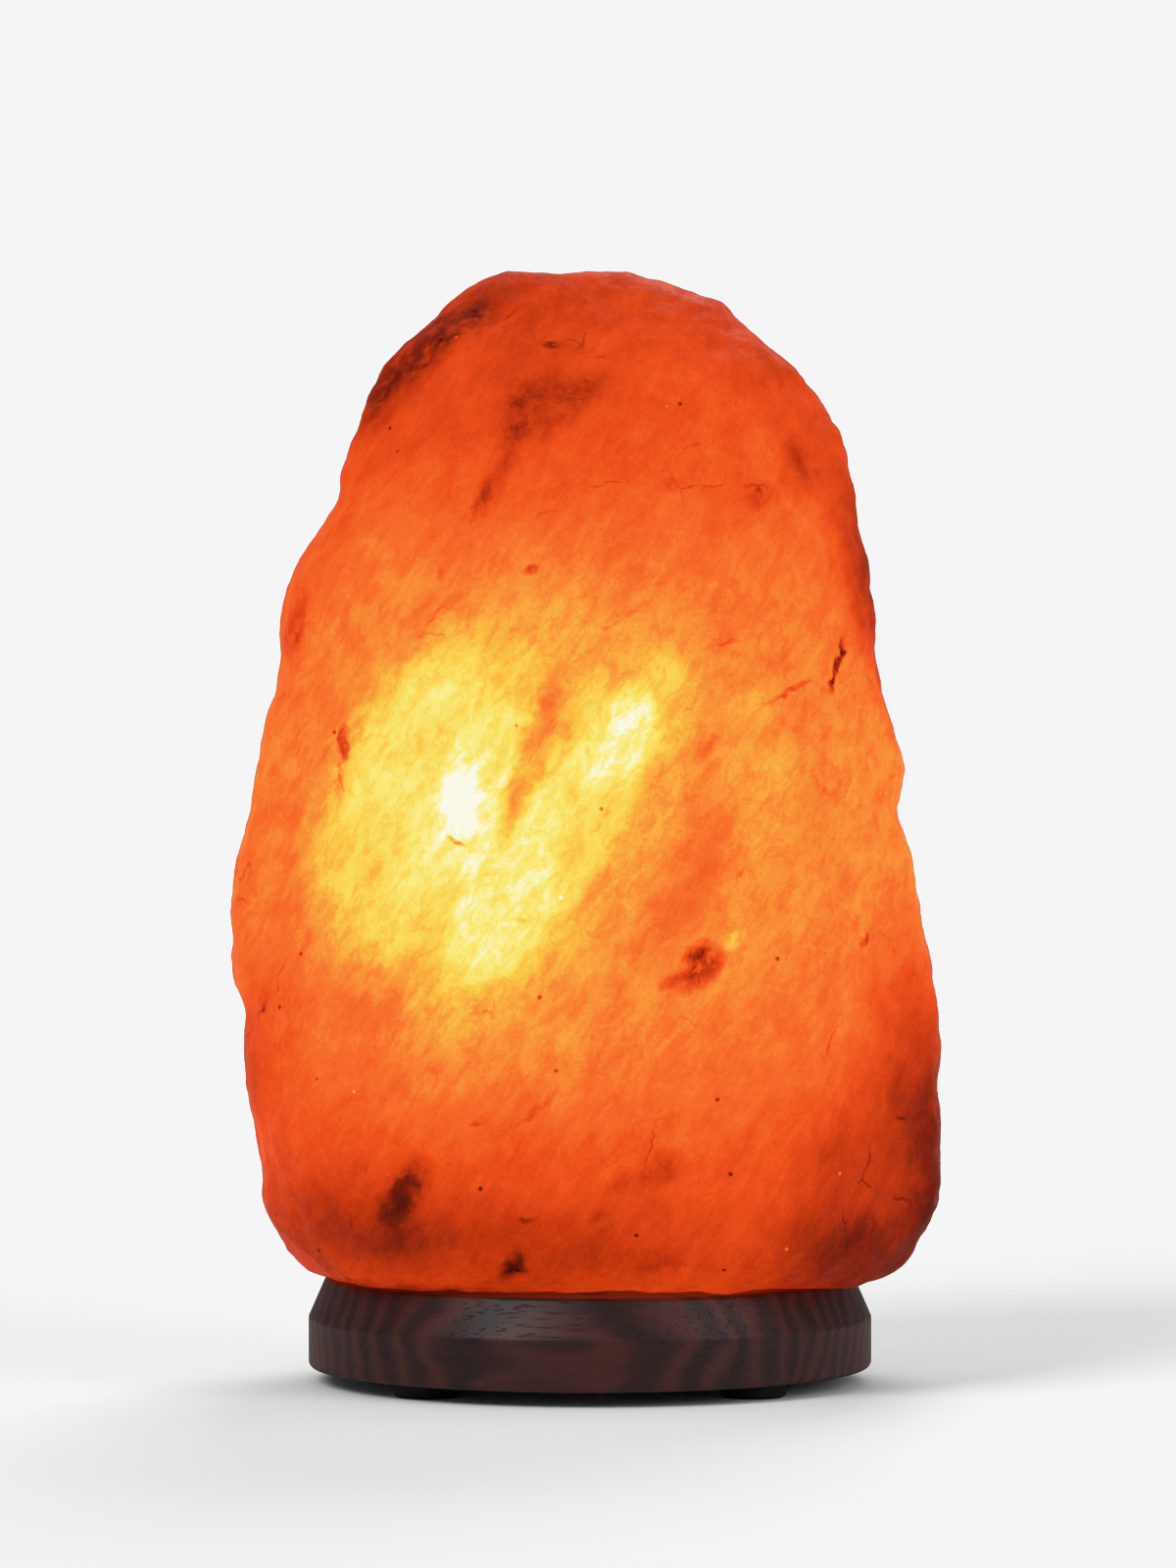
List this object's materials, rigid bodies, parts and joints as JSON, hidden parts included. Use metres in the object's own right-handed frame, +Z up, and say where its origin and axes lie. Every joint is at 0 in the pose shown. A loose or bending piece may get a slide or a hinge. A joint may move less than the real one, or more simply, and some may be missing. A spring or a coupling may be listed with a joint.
{
  "type": "salt crystal lamp",
  "caption": "Rough-hewn glowing rock salt block on a round wooden base, hollowed from below for a candle bulb in a small screw holder with sprung clip arms.",
  "frame": {"origin": "on the table under the lamp, on the common axis of the lamp holder and the cavity in the crystal", "axes": "+Z up, front of the lamp towards -Y, cord groove towards +Y, +X to the right seen from the front"},
  "size_m": [0.1417, 0.1157, 0.221],
  "materials": {
    "rock_salt": "hewn translucent rock salt",
    "dark_wood": "dark stained, satin lacquer",
    "black_rubber": "matte",
    "zinc_steel": "zinc plated",
    "spring_steel": "bright spring steel",
    "brass": "bright drawn brass",
    "white_nylon": "matte",
    "black_plastic": "fine matte thermoset",
    "white_ceramic": "fired, unglazed",
    "black_glass_bead": "fused vitrified bead",
    "clear_glass": "clear blown glass",
    "tungsten": "glowing coil",
    "nickel_wire": "drawn wire"
  },
  "bodies": {
    "lamp": {"wooden_base": "dark_wood", "rubber_feet": "black_rubber", "foot_screws": "zinc_steel", "crystal_screws": "zinc_steel", "screw_plugs": "white_nylon", "salt_crystal": "rock_salt"},
    "holder": {"holder_plate": "zinc_steel", "cord_nipple": "zinc_steel", "nipple_nut": "zinc_steel", "nipple_washer": "zinc_steel", "holder_cap": "black_plastic", "holder_sleeve": "black_plastic", "terminal_block": "white_ceramic", "terminal_clamps": "brass", "terminal_screws": "zinc_steel", "centre_contact": "brass", "contact_rivets": "brass", "screw_shell": "brass", "clip_brackets": "zinc_steel", "clip_pins": "zinc_steel", "clip_rivets": "zinc_steel", "clip_springs": "spring_steel"},
    "clip_left": {"clip_arm_left": "spring_steel"},
    "clip_right": {"clip_arm_right": "spring_steel"},
    "bulb_end": {"bulb_tip": "brass"},
    "bulb": {"bulb_cap": "brass", "bulb_insulator": "black_glass_bead", "bulb_glass": "clear_glass", "bulb_stem": "clear_glass", "lead_wires": "nickel_wire", "support_wire": "nickel_wire", "filament": "tungsten"}
  },
  "joints": [
    {"name": "holder_slide", "type": "slide", "parent": "lamp", "child": "holder", "axis": [0, 0, -1], "range_m": [0, 0.147]},
    {"name": "clip_left_pinch", "type": "hinge", "parent": "holder", "child": "clip_left", "pos_m": [-0.0168, 0, 0.0154], "axis": [0, 1, 0], "range_deg": [0, 6], "stiffness_Nm_per_rad": 0.05, "springref_deg": -8.59},
    {"name": "clip_right_pinch", "type": "hinge", "parent": "holder", "child": "clip_right", "pos_m": [0.0168, 0, 0.0154], "axis": [0, -1, 0], "range_deg": [0, 6], "stiffness_Nm_per_rad": 0.05, "springref_deg": -8.59},
    {"name": "bulb_lift", "type": "slide", "parent": "holder", "child": "bulb_end", "axis": [0, 0, 1], "range_m": [0, 0.0113]},
    {"name": "bulb_spin", "type": "hinge", "parent": "bulb_end", "child": "bulb", "pos_m": [0, 0, 0.048], "axis": [0, 0, 1], "range_deg": [0, 1440]}
  ],
  "couplings": [
    {"joint": "bulb_lift", "follows": "bulb_spin", "m_per_rad": 0.00044914}
  ]
}
